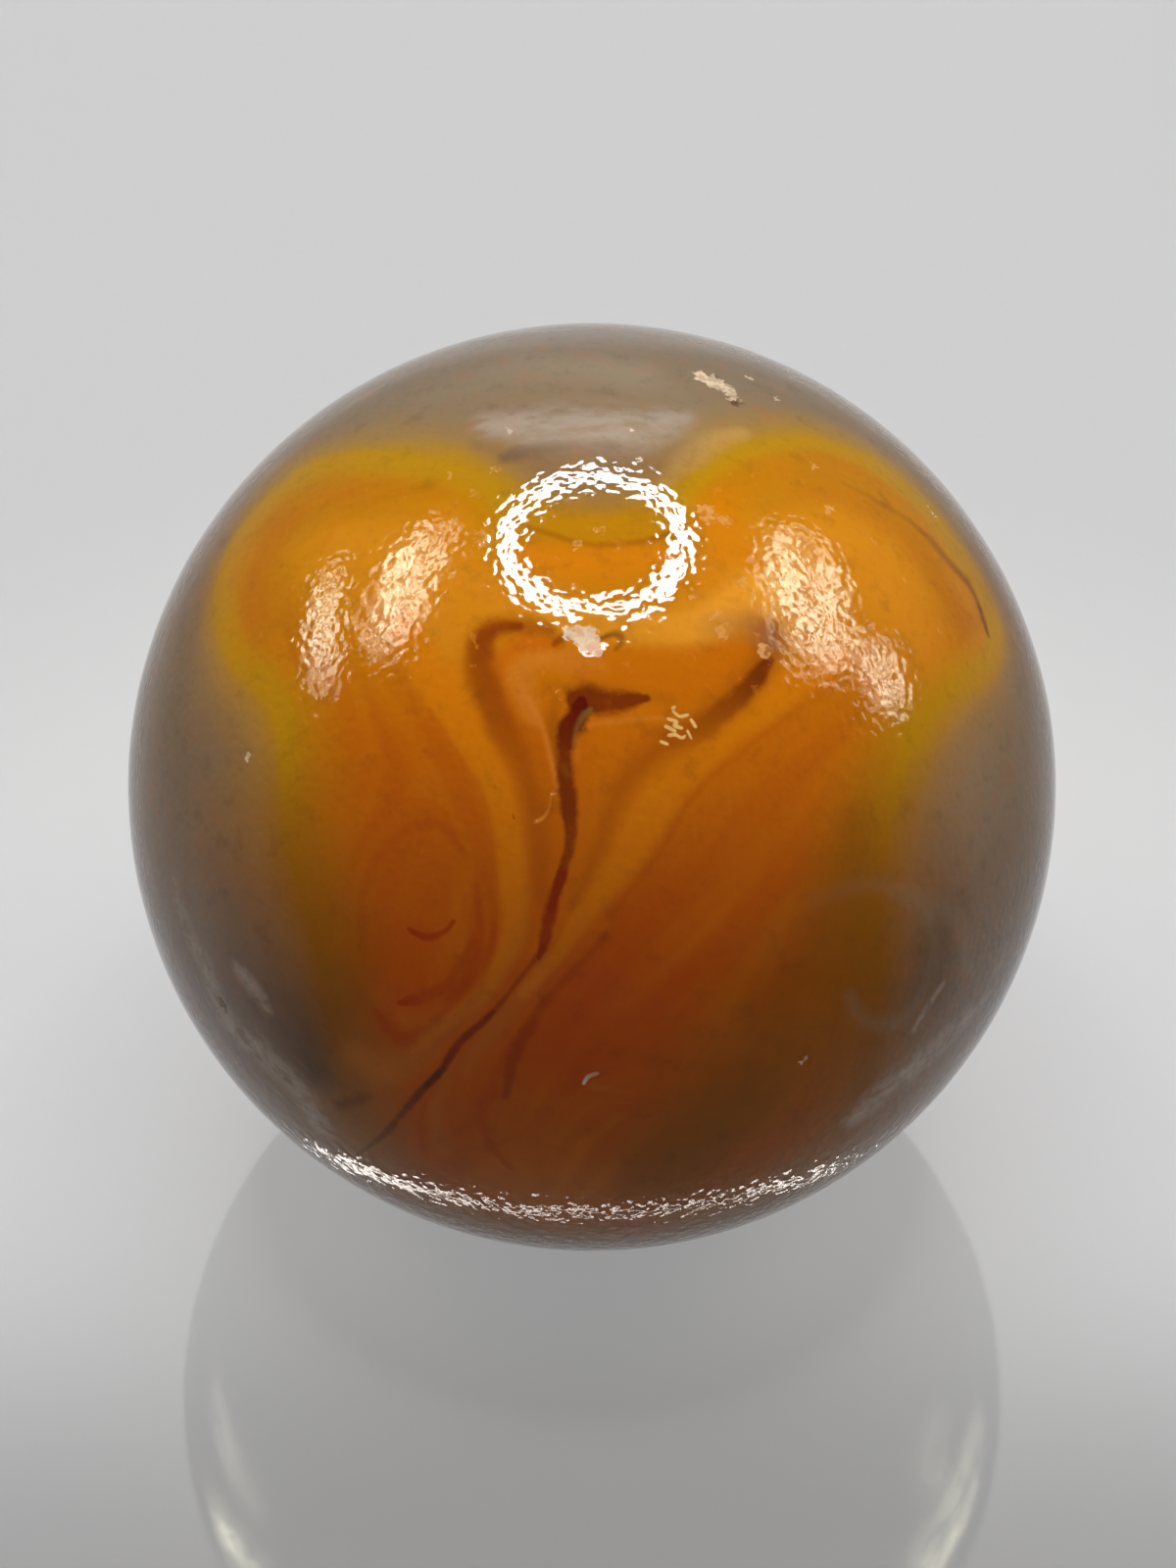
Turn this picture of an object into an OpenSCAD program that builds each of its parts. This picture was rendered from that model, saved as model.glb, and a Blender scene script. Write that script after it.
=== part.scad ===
// Glass marble: one solid ball of swirled glass, with the chips and pits of play on its face.
// The origin is the ball's centre, +Z is up, and the marked face looks towards -Y and upwards.

/* [Ball] */
// Diameter of the ball
ball_d = 16; // [12:0.5:50]
// Height of the middle of the marked face above the horizon, in degrees
face_tilt = 42; // [0:1:90]

/* [Chip] */
// Width of the chip high on the face
chip_w = 0.6; // [0.3:0.02:1]
// Depth of the chip
chip_depth = 0.05; // [0.03:0.01:0.08]
// Width of the flake beside the chip
flake_w = 0.36; // [0.2:0.02:0.6]
// Depth of the flake
flake_depth = 0.03; // [0.02:0.005:0.05]

/* [Dent and pits] */
// Width of the wide dent above the middle of the face
dent_w = 0.7; // [0.4:0.02:1]
// Depth of the wide dent
dent_depth = 0.035; // [0.025:0.005:0.06]
// Width of a small pit
pit_w = 0.24; // [0.1:0.02:0.4]
// Depth of a small pit
pit_depth = 0.03; // [0.02:0.005:0.05]

/* [Hidden] */

// Places on the face: degrees to the right of its middle, and degrees above it
chip_at = [17, 59];
flake_at = [20, 54];
dent_at = [0, 17];
pits_at = [[-54, -31], [9, 8], [31, 36], [51, 41], [-44, 4], [27, -35], [0, -36]];

// Radius of the round tool whose scoop has this width and depth in the ball
function tool_r(width, depth) =
    let (half = width / 2)
    let (ball_rise = ball_d / 2 - sqrt(pow(ball_d / 2, 2) - pow(half, 2)))
    let (tool_rise = depth - ball_rise)
    (pow(half, 2) + pow(tool_rise, 2)) / (2 * tool_rise);

// Turns +Z to a place on the face
module on_face(place) {
    rotate([90 - face_tilt, 0, 0])
        rotate(a = norm(place), v = [-place[1], place[0], 0])
            children();
}

// Cuts one round scoop in the ball's surface
module scoop(place, width, depth) {
    on_face(place)
        translate([0, 0, ball_d / 2 - depth + tool_r(width, depth)])
            sphere(r = tool_r(width, depth), $fn = 48);
}

module marble() {
    color([0.72, 0.45, 0.16])
        difference() {
            sphere(d = ball_d, $fn = 128);
            scoop(chip_at, chip_w, chip_depth);
            scoop(flake_at, flake_w, flake_depth);
            scoop(dent_at, dent_w, dent_depth);
            for (place = pits_at)
                scoop(place, pit_w, pit_depth);
        }
}

marble();
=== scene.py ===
"""Glass marble: one solid ball of swirled glass on a pale glossy board, under a ring lamp.

The swirl is laid out in face degrees: a place (right, up) lies hypot(right, up) degrees of arc
from the middle of the marked face, in the direction of (right, up) as the face is looked at.
"""

import math
from collections import namedtuple

import bpy
import numpy as np
from mathutils import Matrix, Vector


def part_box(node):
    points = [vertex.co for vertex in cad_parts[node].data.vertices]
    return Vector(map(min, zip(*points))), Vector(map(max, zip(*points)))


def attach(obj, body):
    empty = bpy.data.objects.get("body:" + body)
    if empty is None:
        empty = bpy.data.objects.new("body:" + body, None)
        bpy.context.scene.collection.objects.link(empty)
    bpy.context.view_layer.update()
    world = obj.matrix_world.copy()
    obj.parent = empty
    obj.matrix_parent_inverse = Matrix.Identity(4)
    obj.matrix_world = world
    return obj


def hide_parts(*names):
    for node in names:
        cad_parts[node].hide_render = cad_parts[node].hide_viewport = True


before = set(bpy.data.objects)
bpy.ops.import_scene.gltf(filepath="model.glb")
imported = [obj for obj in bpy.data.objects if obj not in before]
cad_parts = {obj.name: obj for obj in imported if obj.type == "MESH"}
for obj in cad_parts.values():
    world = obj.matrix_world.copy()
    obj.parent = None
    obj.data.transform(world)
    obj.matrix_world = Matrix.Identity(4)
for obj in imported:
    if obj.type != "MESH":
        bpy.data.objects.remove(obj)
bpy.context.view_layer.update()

MM = 0.001
ball_low, ball_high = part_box("marble")
BALL_R = (ball_high[2] - ball_low[2]) / 2
FACE_TILT = math.radians(42)  # height of the face's middle over the horizon
FACE = np.array((0.0, -math.cos(FACE_TILT), math.sin(FACE_TILT)))
RIGHT = np.array((1.0, 0.0, 0.0))
UP = np.cross(FACE, RIGHT)
DEGREE = math.radians(BALL_R)  # length of one degree of arc on the ball, in metres
SEED = 7


# ---------------------------------------------------------------- paints

def paint(red, green, blue):
    """A colour as it looks, 0 to 255 a channel, as the linear light that shaders take."""
    shares = np.array((red, green, blue)) / 255
    linear = np.where(shares <= 0.04045, shares / 12.92, ((shares + 0.055) / 1.055) ** 2.4)
    return (*linear.tolist(), 1.0)


PAINTS = {
    # Smoky greys and browns
    "smoke_light": paint(150, 134, 114),
    # The next three smokes are partly painted reflection where the band above the ring and the low frost on
    # the sides use them
    "smoke_pale_sheen": paint(174, 152, 130),
    "milky_smoke_and_sheen": paint(170, 154, 140),
    "frost_and_reflection": paint(178, 164, 150),
    "smoke_dark": paint(112, 88, 66),
    "smoke_deep": paint(70, 54, 40),
    "brow_brown": paint(140, 104, 66),
    "bark": paint(92, 46, 14),
    # Olives and yellows
    "olive": paint(140, 100, 40),
    "olive_brown": paint(134, 80, 4),
    "olive_shade": paint(150, 84, 6),
    "lemon": paint(190, 124, 2),
    "lemon_line": paint(190, 140, 6),
    # partly painted glint below the ring
    "straw_glint": paint(240, 160, 44),
    "pale_straw": paint(204, 160, 88),
    # Painted glint, for the crumbs beside the right horn
    "glint_spark": paint(255, 206, 120),
    # Ambers and oranges
    "pale_amber": paint(226, 142, 26),
    "amber": paint(222, 127, 0),
    "amber_low": paint(188, 94, 0),
    "honey": paint(188, 114, 0),
    "deep_honey": paint(156, 86, 0),
    "pale_orange": paint(220, 128, 6),
    "orange": paint(206, 109, 0),
    "orange_edge": paint(208, 104, 2),
    "peach": paint(226, 134, 44),
    "tan": paint(180, 104, 34),
    # Reds and browns
    "red_orange": paint(182, 66, 0),
    "rust": paint(166, 56, 0),
    "blood_red": paint(140, 40, 0),
    "dark_red": paint(122, 38, 0),
    "bar_red": paint(112, 30, 0),
    "maroon": paint(98, 16, 0),
    "horn_brown": paint(144, 60, 0),
    "horn_dark": paint(116, 44, 0),
    "horn_plum": paint(168, 104, 56),
    # Broken skin, with painted glints, reflection and shadow on it
    "chip_and_sheen_white": paint(232, 206, 174),
    "scuff_and_glint_pink": paint(234, 168, 98),
}

# The three glasses by degrees up the face: the swirl's body, its thin rim, and the smoke round it. Their
# darkening lower down is partly painted shade from the lamp overhead, and their paler bottom stops are
# partly a painted reflection of the board.
SHADED_BODY = (
    (-86, paint(150, 104, 64)),
    (-62, paint(158, 96, 38)),
    (-49, paint(172, 82, 0)),
    (-36, paint(183, 81, 0)),
    (-22, paint(183, 78, 0)),
    (-8, paint(193, 95, 0)),
    (6, paint(203, 105, 0)),
    (20, paint(210, 132, 0)),
    (32, paint(213, 142, 2)),
    (46, paint(190, 130, 4)),
)
SHADED_RIM = (
    (-60, paint(150, 100, 50)),
    (-28, paint(134, 78, 6)),
    (-12, paint(160, 96, 2)),
    (-1, paint(174, 115, 4)),
    (8, paint(196, 136, 4)),
    (20, paint(196, 138, 6)),
    (30, paint(180, 124, 6)),
    (44, paint(176, 130, 14)),
)
SHADED_SMOKE = (
    (-70, paint(162, 144, 132)),
    (-34, paint(132, 118, 109)),
    (-4, paint(138, 115, 93)),
    (20, paint(139, 111, 80)),
    (44, paint(139, 114, 84)),
    (56, paint(138, 118, 93)),
    (70, paint(133, 120, 104)),
)


# ---------------------------------------------------------------- the lie of the swirl

# The edge of the swirl, clockwise from the notch between its two lobes.
SWIRL_EDGE = (
    (0, 32.5), (8, 34), (12, 39), (18, 44), (26, 48), (34, 49), (42, 47), (49, 42), (54, 35.5),
    (58.5, 29), (59.5, 23), (56, 17.5), (47, 12), (41.5, 6.5), (39, 2), (36.5, -6), (36, -14),
    (37, -24), (38, -36), (36, -50), (26, -64), (10, -76), (-12, -76), (-28, -64), (-34, -50),
    (-34, -36), (-34, -25), (-36, -14), (-38.5, -4), (-39, 6), (-42.5, 12), (-49, 17.5), (-52.5, 25),
    (-53.5, 33), (-50.5, 40), (-45, 44.5), (-38, 46), (-28, 45), (-19, 42), (-12, 38), (-8, 34),
)

# A stroke is a streak of another glass: its paint, how much of it shows at either end, how soft
# its edge is as a share of its half-width, and its route as (right, up, half-width) in degrees.
# More routes, all well apart, can be painted alike.
Stroke = namedtuple("Stroke", "name paint shows softness route more", defaults=((),))
STROKES = (
    # Round the notch and the lobes
    # Partly milky wear, partly painted reflection of the panel behind: a pale band above the ring
    Stroke("milk_veil", "smoke_pale_sheen", (0.45, 0.45), 1.0,
           ((-12, 46.6, 1.8), (-4, 45.4, 3), (5, 45.6, 3), (11, 47, 1.8))),
    Stroke("milk_top", "milky_smoke_and_sheen", (0.8, 0.8), 1.0,
           ((-14, 47.8, 1.8), (-5, 47, 3.3), (4, 46.8, 3.3), (12, 48.5, 1.8))),
    Stroke("milk_high", "smoke_light", (0.1, 0.6), 1.0, ((-24, 55, 2), (-10, 60, 3), (6, 58, 3))),
    Stroke("brow", "brow_brown", (0.5, 0.5), 1.0,
           ((-15, 44, 1), (-7, 41, 2), (0, 40, 2.5), (8, 41, 2), (13, 44, 1))),
    Stroke("notch_pale", "pale_straw", (0.3, 0.5), 1.0,
           ((9.5, 38, 0.8), (12, 41.5, 1.6), (15.5, 44.6, 1.5), (20, 47, 1))),
    Stroke("brow_dark", "smoke_dark", (0.7, 0.2), 1.0,
           ((-11, 41.5, 0.8), (-5, 42.8, 1.2), (3, 43, 0.8))),
    Stroke("notch", "lemon", (0.6, 0.6), 1.0, ((-10, 33, 1.2), (0, 30.8, 1.6), (10, 33, 1.2))),
    Stroke("notch_arc", "olive_shade", (0.5, 0.7), 0.8,
           ((-8, 31, 0.4), (-1, 28.8, 0.5), (4, 28.8, 0.5), (9, 30, 0.4))),
    Stroke("notch_glow", "pale_orange", (0.8, 0.8), 0.9,
           ((-9, 27.5, 1.2), (0, 25.8, 2.2), (9, 27, 1.8))),
    Stroke("crease", "bark", (0.2, 0.8), 0.9,
           ((34, 41, 0.3), (44, 37.5, 0.5), (51, 32.5, 0.75), (55.5, 28.5, 0.7), (57, 21.5, 0.4))),
    Stroke("lobe_arcs", "honey", (0.1, 0.35), 1.0,
           ((-16, 37, 1.5), (-26, 38.5, 2), (-37, 36, 3), (-43, 29, 3), (-42, 20, 2)),
           (((17, 36, 1.5), (28, 40, 2), (38, 38, 3), (46, 32, 3), (51, 24, 2.5)),)),
    # Pale and red clouds in the fields
    Stroke("lobe_clouds", "pale_amber", (0.5, 0.7), 1.0,
           ((-33, 31, 3), (-24, 27, 6), (-18, 17, 3.5)),
           (((16, 26, 4), (26, 29, 7), (35, 29, 7), (42, 20, 5)),)),
    Stroke("cloud_low", "red_orange", (0.2, 0.7), 1.0, ((14, -12, 4), (4, -22, 5), (-4, -32, 4))),
    Stroke("cloud_olive", "olive_brown", (0.5, 0.85), 1.0,
           ((31, -5, 2.5), (30, -15, 6.5), (27, -26, 9), (22, -37, 9.5), (11, -51, 7))),
    # The eye of the left field
    Stroke("eye_glow", "red_orange", (0.3, 0.5), 1.0, ((-20, -19, 3), (-21, -25, 3.5))),
    Stroke("eye_spark", "rust", (1, 1), 0.5,
           ((-21.3, -16.8, 0.3), (-19.2, -17.7, 0.55), (-17, -16.8, 0.45), (-16, -15.6, 0.4))),
    Stroke("eye_blade", "rust", (1, 0.3), 0.5,
           ((-23.4, -26.2, 0.4), (-20, -25.2, 1), (-17, -23.4, 0.6), (-13.8, -18, 0.4))),
    Stroke("eye_pale", "amber_low", (0.2, 0.7), 0.8,
           ((-15, -22, 0.6), (-18, -27.5, 0.9), (-23, -28.6, 1))),
    Stroke("eye_bowl", "rust", (0.6, 0.4), 1.0,
           ((-26.5, -28, 0.6), (-24.4, -30.8, 1), (-20.8, -31.8, 1.1), (-16.8, -29.2, 0.8),
            (-13.7, -25, 0.6), (-12, -20.6, 0.45), (-11.2, -15.8, 0.4))),
    Stroke("eye_inner", "rust", (0.3, 0.4), 1.0,
           ((-17.7, -26.1, 0.4), (-15.1, -23.4, 0.5), (-13.4, -20.1, 0.45), (-12.8, -16.4, 0.4),
            (-13, -11, 0.4))),
    Stroke("eye_outer", "rust", (0.1, 0.3), 1.0,
           ((-27.5, -20, 0.5), (-27, -12, 0.7), (-23, -6, 0.7), (-18, -4, 0.6), (-15, -7, 0.4))),
    Stroke("eye_wedge", "tan", (0.6, 0.2), 1.0, ((-30, -35, 2), (-25, -36, 1.8), (-19, -33, 1))),
    Stroke("smudge", "bark", (0.6, 0.4), 1.0, ((-35, -44, 1), (-30, -41, 0.8))),
    Stroke("smoke_sides", "smoke_deep", (0.1, 0.42), 1.0,
           ((-50, -12, 4), (-47, -24, 5), (-41, -38, 4)),
           (((44, -6, 3), (46, -16, 4), (46, -27, 4)),)),
    Stroke("plum_left", "smoke_deep", (0.1, 0.5), 1.0,
           ((-40, -22, 2), (-38.5, -29, 3), (-37, -39, 2.5))),
    # Partly frosted wear, partly painted reflection of the strip lamps in the board, low on both sides
    Stroke("frost_outer", "frost_and_reflection", (0.28, 0.85), 1.0,
           ((-60.7, -13.6, 1), (-59.6, -19, 1.2), (-56, -26, 1.6), (-54, -34, 2), (-47, -38.5, 2.4),
            (-42, -43, 2), (-40, -50, 2)),
           (((63, -24, 0.8), (61.8, -29.5, 1.2), (59, -33.4, 1.6), (54.4, -36.2, 2), (50, -39, 2.4),
             (44, -42, 2.6), (38, -47, 2)),)),
    Stroke("frost_inner", "frost_and_reflection", (0.6, 0.65), 1.0,
           ((-48.6, -24.6, 0.9), (-46, -27.5, 1.4), (-44.4, -30.4, 0.9)),
           (((48.5, -27.1, 0.4), (46.5, -29.2, 0.5), (44.6, -33, 0.6)),)),
    Stroke("spiral_inner", "smoke_light", (0.2, 0.16), 1.0,
           ((32.2, -26.2, 0.8), (35.3, -30.2, 1.1), (40.8, -31.3, 1.1), (44.8, -27.4, 1.1),
            (45.6, -21.2, 1), (43.3, -16.5, 0.8))),
    Stroke("spiral_outer", "smoke_light", (0.05, 0.24), 1.0,
           ((25.9, -13.8, 0.8), (30.9, -12.1, 1), (37.2, -12.4, 1.1), (49.1, -17.9, 1.4),
            (53.3, -25.7, 1.1))),
    # Painted shade: darker smoke along both sides of the ball's edge
    Stroke("limbs", "smoke_deep", (0.3, 0.6), 1.0,
           ((77, 22, 5), (78, 2, 6), (75, -18, 7), (69, -33, 6)),
           (((-75, 38, 4), (-79, 10, 5), (-79, -14, 4)),)),
    # Bands that run down from the lobes and meet below
    Stroke("band_left", "amber", (0.9, 0.25), 0.6,
           ((-23, 20, 1.5), (-18.6, 13.5, 2.3), (-14.9, 8, 2.3), (-12, 2.5, 2.1), (-10.3, -2.5, 1.9),
            (-9.3, -8, 1.7), (-8.9, -13.5, 1.5), (-9.6, -18, 1.2), (-12, -22.8, 1), (-16.5, -28, 0.8),
            (-22, -33, 0.7))),
    Stroke("band_edges", "rust", (0.15, 0.4), 1.0,
           ((-18.5, 8.8, 0.3), (-15.1, 3.5, 0.4), (-12.6, -1, 0.5), (-11.4, -6.1, 0.5),
            (-10.9, -11.8, 0.5), (-11.4, -16.5, 0.5), (-13.6, -22.1, 0.5), (-18.6, -28.4, 0.5)),
           (((24.5, 9.6, 0.3), (14.5, 2.2, 0.5), (10.7, -2, 0.5), (7.6, -7.6, 0.6), (2.2, -14.6, 0.5)),)),
    Stroke("left_shades", "rust", (0.15, 0.42), 1.0,
           ((-14.6, -13, 0.5), (-14.2, -19.7, 0.7), (-17, -25, 0.6)),
           (((-17.3, -32.9, 0.3), (-20.4, -38.6, 0.5), (-22.9, -44.9, 0.6), (-23.3, -50.9, 0.6)),)),
    Stroke("band_left_tail", "tan", (0.2, 0.45), 1.0,
           ((-7.4, -11.8, 0.6), (-8.4, -17, 0.7), (-11, -22.4, 0.8), (-15, -27.2, 0.9),
            (-20.8, -32.4, 1.2), (-28, -38, 1.8))),
    Stroke("band_right", "amber", (0.95, 0.35), 0.5,
           ((30, 15.5, 1.5), (23, 11.6, 2.1), (18, 8.4, 2.3), (13, 4.8, 2.4), (8.8, 0.8, 2.5),
            (6, -3.6, 2.5), (3.2, -8, 2.1), (0.4, -12.6, 1.3), (-3.4, -18, 0.9), (-7.6, -24, 0.8))),
    Stroke("band_right_tail", "tan", (0.1, 0.4), 1.0,
           ((-0.9, -14.6, 0.9), (-3.8, -19.4, 1), (-7.4, -24.2, 1), (-12, -29.6, 0.9),
            (-15.6, -35, 0.8))),
    Stroke("low_line_inner", "dark_red", (0.3, 0.55), 0.9,
           ((1.4, -16.9, 0.4), (-2.1, -21.1, 0.5), (-5.6, -25.5, 0.6), (-8.4, -30.2, 0.6),
            (-10, -34.6, 0.55), (-10.6, -38.4, 0.4))),
    Stroke("low_line_outer", "rust", (0.3, 0.5), 0.9,
           ((-6.3, -27.5, 0.4), (-10.3, -32.4, 0.6), (-12.7, -37.7, 0.7), (-13.9, -42.7, 0.7),
            (-13.3, -47.6, 0.6), (-11.2, -51.3, 0.5))),
    Stroke("low_pale", "tan", (0.1, 0.45), 1.0,
           ((-12.2, -25.7, 0.4), (-15.9, -31.4, 0.6), (-18.6, -36.8, 0.8), (-20, -42.6, 1),
            (-20.1, -49.2, 1))),
    # The middle: orange fields, horns, and the dark seven with its long vein
    Stroke("ring_yellow", "pale_amber", (0.4, 0.9), 1.0,
           ((-18, 33, 2), (-15.5, 26, 3), (-10.5, 21.5, 3), (-3, 20, 2))),
    Stroke("ring_amber", "amber", (0.5, 0.3), 1.0, ((16, 34, 2.5), (16.5, 27, 3), (13, 22, 2))),
    # Partly painted glint: light scattered from the ring's mirror image along its lower edge
    Stroke("brow_yellow", "straw_glint", (0.5, 0.9), 0.7,
           ((-4, 19.6, 1.6), (4, 18.4, 2), (9, 18, 2.4), (14, 19.6, 2.6), (19, 23, 3))),
    Stroke("field_bar", "orange", (0.7, 0.9), 0.5,
           ((-1, 13.4, 2), (7, 13, 2.8), (13, 13.6, 3), (17, 15, 2))),
    Stroke("field_inner", "peach", (0.5, 0.45), 0.8,
           ((-6.4, 15.2, 1.3), (-8.2, 13.6, 1.7), (-8, 11, 1.4), (-6.7, 7.5, 0.9))),
    Stroke("bar_pale", "peach", (0.5, 0.3), 1.0, ((-5, 14.6, 1.1), (-2, 14.1, 1.4), (1, 13.8, 0.9))),
    Stroke("edge_inner", "orange_edge", (0.9, 0.5), 0.8,
           ((-4, 16.4, 0.8), (-8.6, 16, 1.2), (-10.4, 13, 1), (-9.4, 9, 0.7))),
    Stroke("shade_stem", "olive_shade", (0.4, 0.6), 0.9,
           ((-4.2, 9.4, 0.8), (-4.4, 7, 0.9), (-4.2, 3, 0.6))),
    Stroke("shade_bar", "olive_shade", (0.5, 0.2), 0.9,
           ((-2.6, 10.9, 0.6), (2, 10.8, 0.8), (9, 10.1, 0.6))),
    Stroke("line_inner", "peach", (0.35, 0.6), 0.9,
           ((-8, 11, 0.3), (-6.2, 7.6, 0.35), (-4.9, 3.5, 0.35), (-4, 0, 0.3))),
    Stroke("line_below_bar", "peach", (0.2, 0.4), 0.9,
           ((-1.6, 2.5, 0.25), (-1.4, 5.4, 0.35), (0, 6.8, 0.35), (4, 7.4, 0.35), (8, 7.8, 0.25))),
    Stroke("horn_glows", "horn_brown", (0.65, 0.28), 1.0,
           ((-5, 18, 0.8), (-10, 18.6, 1.2), (-12.8, 17, 1.5), (-12, 12.6, 1.5), (-10.1, 7.6, 1.5),
            (-8.1, 3, 1.4), (-6.8, -2, 1.3), (-6.1, -7, 1.2), (-5.7, -13, 0.8)),
           (((21, 18, 1.4), (19.4, 13.6, 1.6), (16, 10, 1.6), (11.5, 6.6, 1.6), (7, 3.6, 1.6),
             (3.4, -0.5, 1.4), (1, -6, 1.2), (-1.6, -13, 0.8)),)),
    Stroke("horn_left", "horn_brown", (1, 0.1), 0.7,
           ((-8.6, 18.4, 0.5), (-11.2, 18.4, 0.9), (-12.9, 16.8, 1.2), (-12.6, 13.4, 1.3),
            (-11.2, 9.6, 1.2), (-9.7, 6.2, 1.1), (-8.3, 3, 1), (-6.9, -1.6, 0.8))),
    Stroke("horn_right_top", "horn_plum", (0.3, 0.8), 1.0,
           ((14, 18.6, 1.5), (18.5, 18.8, 1.8), (20.8, 17, 1.2))),
    Stroke("horn_right", "horn_dark", (0.95, 0.15), 0.5,
           ((20.6, 14.6, 0.6), (19.2, 13, 1), (17.1, 10.6, 1.1), (14.5, 8.3, 1.1), (11.8, 6.2, 1),
            (9.2, 4.9, 0.7))),
    Stroke("bar", "bar_red", (0.9, 0.85), 0.5,
           ((-2, 9.8, 0.9), (-0.6, 9.9, 1.4), (1, 9.5, 1.55), (2.8, 9.6, 1.25), (4.4, 9.8, 0.95),
            (6, 10, 0.5))),
    Stroke("stem", "maroon", (1, 0.7), 0.4,
           ((-1, 9.7, 0.5), (-1.2, 8.6, 1.2), (-1.7, 7.4, 1.5), (-2.6, 6, 1.25), (-3, 4, 1.1),
            (-3, 1.4, 1.1), (-2.6, -2.5, 0.85), (-2.8, -6.5, 0.7), (-3.5, -10, 0.6), (-4.7, -14, 0.4))),
    Stroke("vein", "blood_red", (0.9, 0.8), 0.5,
           ((-3.3, -9.5, 0.6), (-4.9, -14.7, 0.75), (-5.7, -17.2, 0.65), (-6.3, -19.4, 0.25))),
    Stroke("vein_thread", "dark_red", (0.55, 0.6), 0.8,
           ((-5.9, -18, 0.4), (-8, -21.8, 0.32), (-10, -24.7, 0.3), (-12.2, -27.3, 0.4))),
    Stroke("vein_low", "dark_red", (0.8, 0.9), 0.7,
           ((-11.4, -26.4, 0.25), (-13, -28.3, 0.4), (-15.8, -31.2, 0.45), (-18.4, -34.4, 0.4),
            (-21, -37.9, 0.4))),
    Stroke("moon", "chip_and_sheen_white", (0.9, 0.5), 0.6,
           ((-0.7, -36.3, 0.2), (-0.1, -35.3, 0.24), (0.9, -34.8, 0.2))),
    Stroke("moon_faint", "tan", (0.5, 0.2), 1.0,
           ((0.6, -36.9, 0.4), (2.4, -36.9, 0.4), (5, -37.6, 0.3))),
    Stroke("small_moon", "peach", (1, 0.4), 0.6,
           ((-6.6, -3.8, 0.2), (-5.9, -3.5, 0.2), (-5.1, -2.6, 0.14), (-4.6, -0.6, 0.1))),
    Stroke("stem_gap", "olive_shade", (0.45, 0.45), 1.0, ((-3.2, 2, 0.5), (-2.7, 1.2, 0.5))),
    Stroke("stem_glint", "olive", (0.8, 0.3), 0.8,
           ((0, 8.5, 0.3), (-0.9, 7.6, 0.4), (-1.7, 6, 0.3), (-2, 4, 0.2))),
    Stroke("vein_tail", "bark", (0.9, 0.5), 0.7,
           ((-18.6, -34.6, 0.35), (-21.6, -38.6, 0.5), (-25.5, -43.6, 0.48), (-30, -49, 0.4),
            (-35.4, -55, 0.3))),
    # Painted reflection: dark wings beside the dent under the ring, where the dent breaks up the ring's
    # mirror image
    Stroke("dent_left", "bark", (0.5, 0.7), 0.8,
           ((-4.5, 16.2, 0.3), (-3.6, 17.1, 0.5), (-2.4, 17.9, 0.35))),
    Stroke("dent_right", "bark", (0.7, 0.5), 0.8,
           ((0.9, 17.2, 0.35), (2.4, 17.5, 0.5), (3.3, 16.8, 0.45), (2.6, 15.7, 0.25))),
)

# Painted glints: bright worm-like crumbs beside the right horn, where a rough pit catches the light. Routes
# of (right, up), all of one width.
GLINT_CRUMBS = (
    ((9.2, 8.6), (9.9, 8.1), (10.9, 8.4)), ((8.5, 7.7), (9.5, 7.5), (9.1, 7), (10, 6.8)),
    ((11.2, 7.8), (11.6, 7.1)), ((8.2, 6.8), (9.2, 6.4)), ((10.7, 6.5), (11.1, 5.7)),
    ((8.5, 5.8), (9.3, 6), (10, 5.6), (10.4, 6)), ((7.6, 5), (8.3, 4.8)), ((9.4, 9.2), (9, 8.9)),
)
GLINT_CRUMB_HALF_WIDTH = 0.17
STROKES += tuple(
    Stroke(f"crumb_{i}", "glint_spark", (0.9, 0.9), 0.5, tuple((*place, GLINT_CRUMB_HALF_WIDTH) for place in route))
    for i, route in enumerate(GLINT_CRUMBS)
)

# Broken skin: (right, up, half-width) in degrees, and how much of it shows. The four at the dent under the
# ring are partly painted reflection: the ring's mirror image split up by the dent.
BROKEN_AND_DENT_SHEEN = (
    (16.6, 59, 1.6, 0.9), (17.8, 57.8, 1.5, 0.8), (19.2, 56.4, 1.2, 0.8), (20, 54.6, 0.7, 0.7),
    (23.4, 61.1, 0.6, 0.8), (26.9, 56.8, 0.5, 0.6), (-1.9, 17.5, 1.2, 0.8), (-0.4, 17.2, 1.2, 0.8),
    (0.6, 15.8, 0.9, 0.7), (-0.6, 16.2, 0.9, 0.7), (51, 41, 0.6, 0.8), (-44, 4, 0.5, 0.9),
    (27, -35, 0.4, 0.8), (-11, 46.4, 0.5, 0.7), (5.6, 46.2, 0.4, 0.7), (6, 41, 0.4, 0.8),
    (-6.4, -3.8, 0.25, 0.8),
)
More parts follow.
